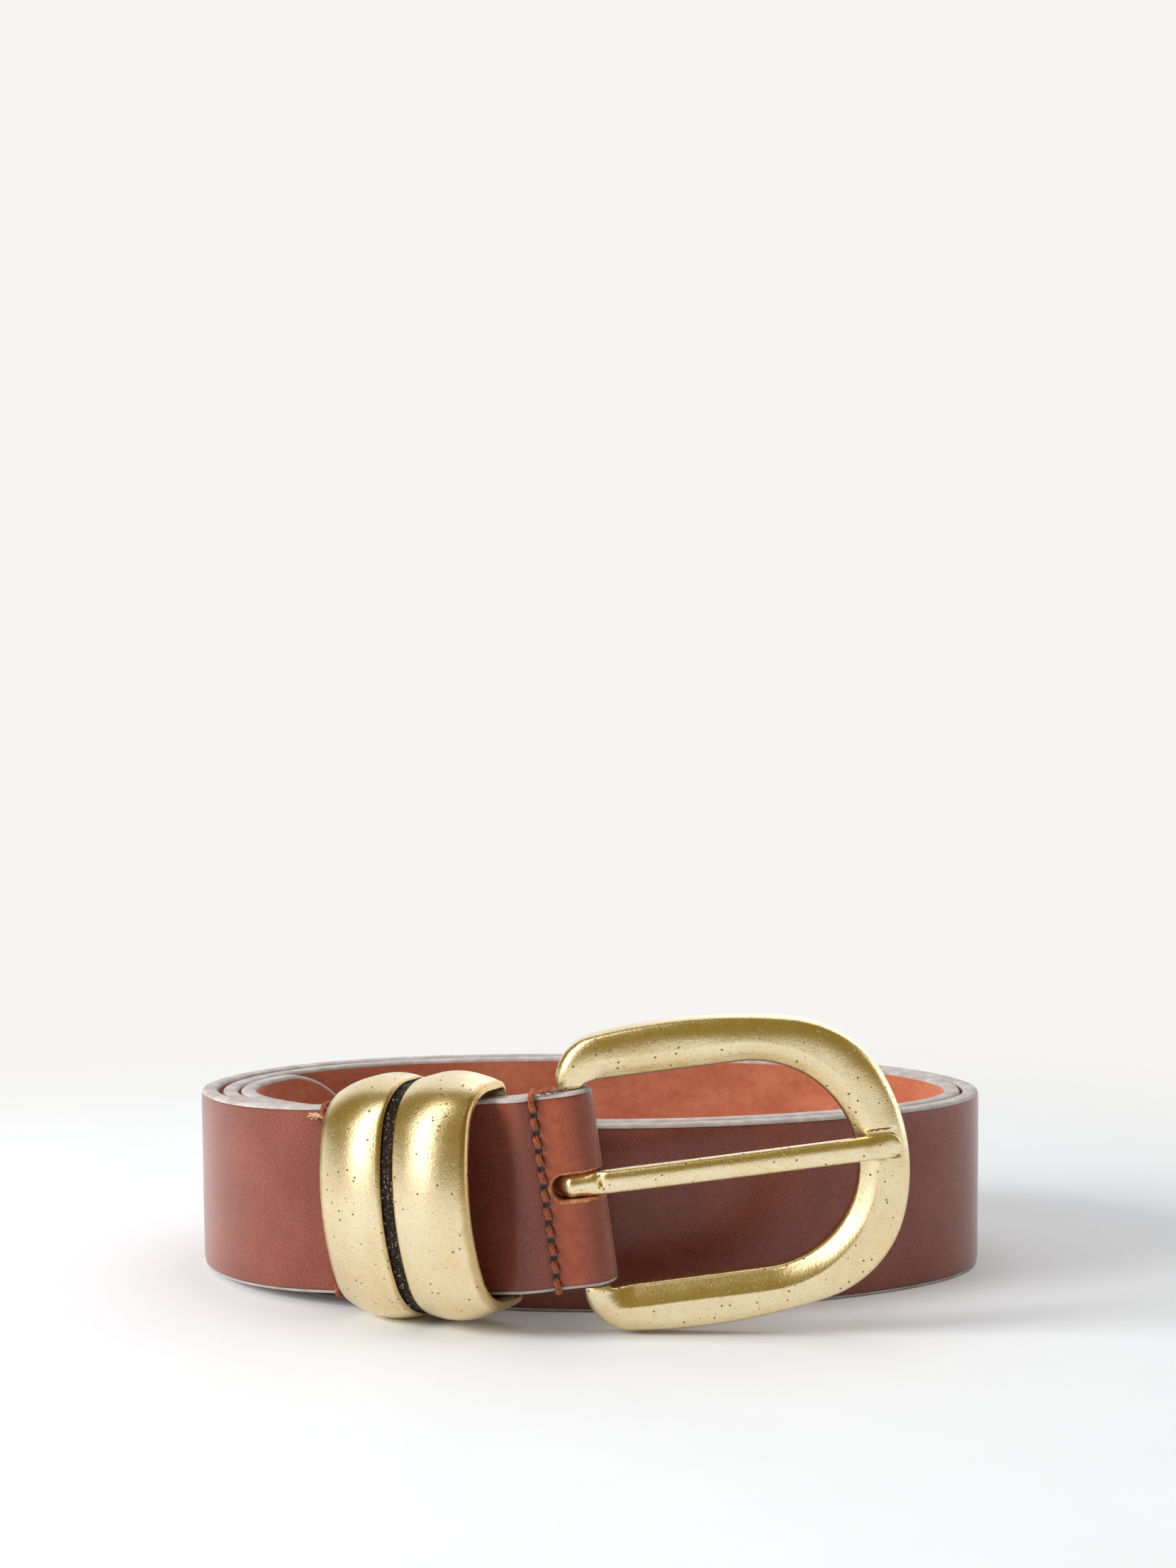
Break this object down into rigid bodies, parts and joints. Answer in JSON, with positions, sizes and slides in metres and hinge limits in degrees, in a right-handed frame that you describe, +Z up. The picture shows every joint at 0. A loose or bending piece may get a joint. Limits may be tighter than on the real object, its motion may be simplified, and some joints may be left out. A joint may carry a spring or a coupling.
{
  "type": "leather belt",
  "caption": "Coiled tan leather dress belt standing on edge, with a solid brass heel-bar buckle, its tongue and a double-banded brass keeper.",
  "frame": {"origin": "middle of the belt's footprint, on the floor it stands on", "axes": "+Z up along the strap's width, +X along the coil's length towards the buckle's rounded end, -Y towards the front where the buckle is"},
  "size_m": [0.1576, 0.107, 0.0575],
  "materials": {
    "strap_leather": "smooth waxed grain, bare flesh side, painted grey edges",
    "thread": "waxed braided thread",
    "frame_brass": "cast and worn, satin with rubbed highlights",
    "bar_brass": "cast and worn, satin with rubbed highlights",
    "tongue_brass": "cast and worn, satin with rubbed highlights",
    "keeper_brass": "cast and worn, satin with rubbed highlights"
  },
  "bodies": {
    "strap_body": {"strap": "strap_leather", "front_stitching": "thread", "rear_stitching": "thread"},
    "buckle": {"buckle_frame": "frame_brass", "heel_bar": "bar_brass"},
    "tongue": {"tongue": "tongue_brass"},
    "keeper": {"keeper": "keeper_brass"}
  },
  "joints": [
    {"name": "buckle_swing", "type": "hinge", "parent": "strap_body", "child": "buckle", "pos_m": [-0.00142, -0.04427, 0.02649], "axis": [0.1394, -0.0073, -0.9902], "range_deg": [-15, 40]},
    {"name": "tongue_swing", "type": "hinge", "parent": "buckle", "child": "tongue", "pos_m": [-0.00142, -0.04427, 0.02649], "axis": [0.1394, -0.0073, -0.9902], "range_deg": [0, 52]},
    {"name": "keeper_slide", "type": "slide", "parent": "strap_body", "child": "keeper", "axis": [0.8941, -0.4342, 0.1096], "range_m": [-0.002, 0.003]}
  ]
}
